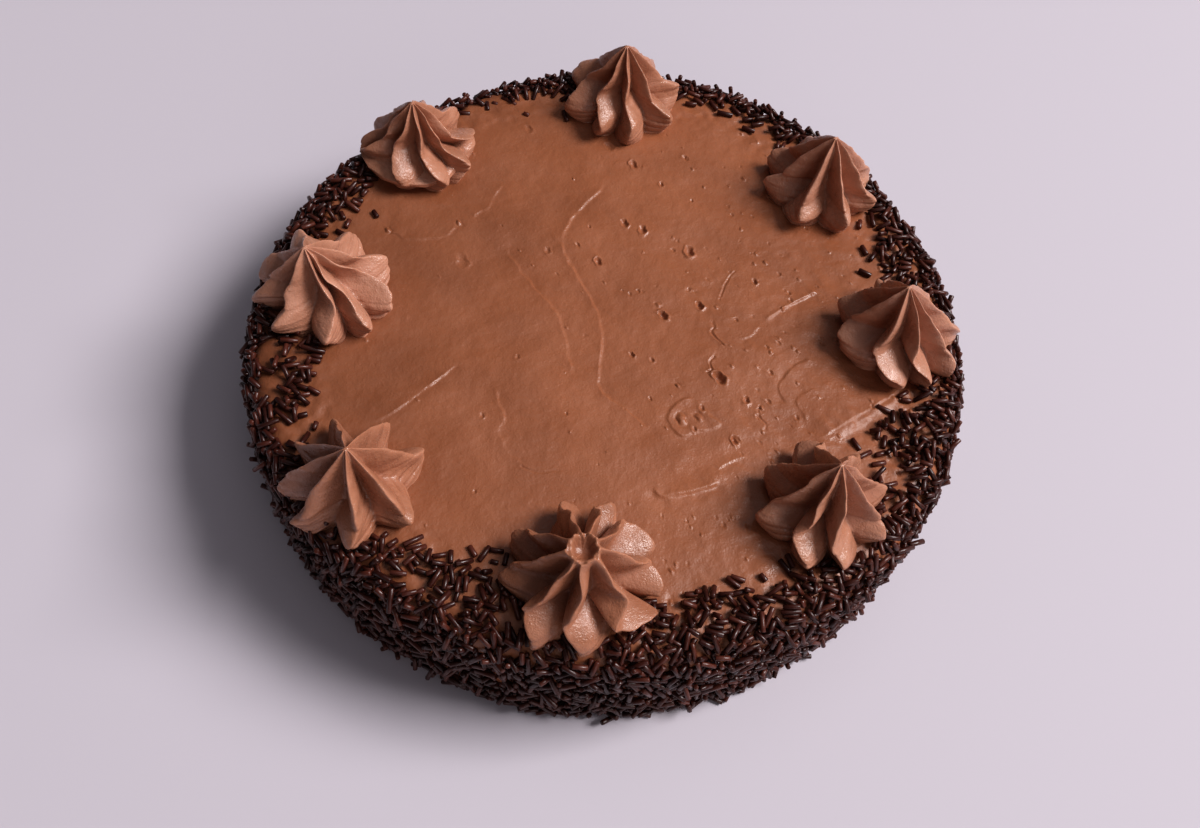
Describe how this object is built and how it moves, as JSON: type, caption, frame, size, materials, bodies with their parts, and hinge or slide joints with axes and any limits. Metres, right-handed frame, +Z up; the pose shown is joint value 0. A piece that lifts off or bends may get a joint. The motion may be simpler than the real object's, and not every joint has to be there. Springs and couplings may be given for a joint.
{
  "type": "layer cake",
  "caption": "Round chocolate layer cake, whole and frosted all over, with piped rosettes on the rim of its top and a coat of chocolate sprinkles on its side.",
  "frame": {"origin": "centre of the flat base that the cake rests on", "axes": "+Z up; -Y towards the side of the cake that faces the viewer, +X to the viewer's right"},
  "size_m": [0.2197, 0.2205, 0.0718],
  "materials": {
    "frosting": "satin",
    "sprinkles": "gloss"
  },
  "bodies": {
    "root": {"frosted_cake": "frosting", "rosette_rear": "frosting", "rosette_rear_right": "frosting", "rosette_right": "frosting", "rosette_front_right": "frosting", "rosette_front": "frosting", "rosette_front_left": "frosting", "rosette_left": "frosting", "rosette_rear_left": "frosting"}
  },
  "joints": []
}
